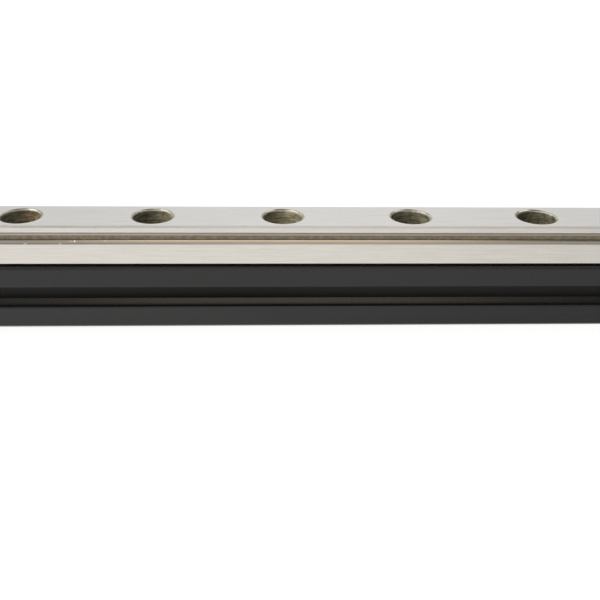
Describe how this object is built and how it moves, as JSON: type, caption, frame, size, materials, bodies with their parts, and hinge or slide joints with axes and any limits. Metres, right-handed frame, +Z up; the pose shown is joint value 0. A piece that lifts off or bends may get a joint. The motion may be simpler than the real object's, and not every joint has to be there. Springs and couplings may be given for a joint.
{
  "type": "linear slide rail",
  "caption": "Ground steel guide rail with a ball raceway in each side and counterbored screw holes, lying on a black T-slot beam.",
  "frame": {"origin": "middle of the beam's underside", "axes": "+X along the rail, +Y across it from the side seen in the picture to the far side, +Z up from the beam to the rail"},
  "size_m": [0.2, 0.01, 0.0165],
  "materials": {
    "ground_steel": "ground, lengthwise grain",
    "black_anodised": "black anodised, satin"
  },
  "bodies": {
    "root": {"guide_rail": "ground_steel", "support_beam": "black_anodised"}
  },
  "joints": []
}
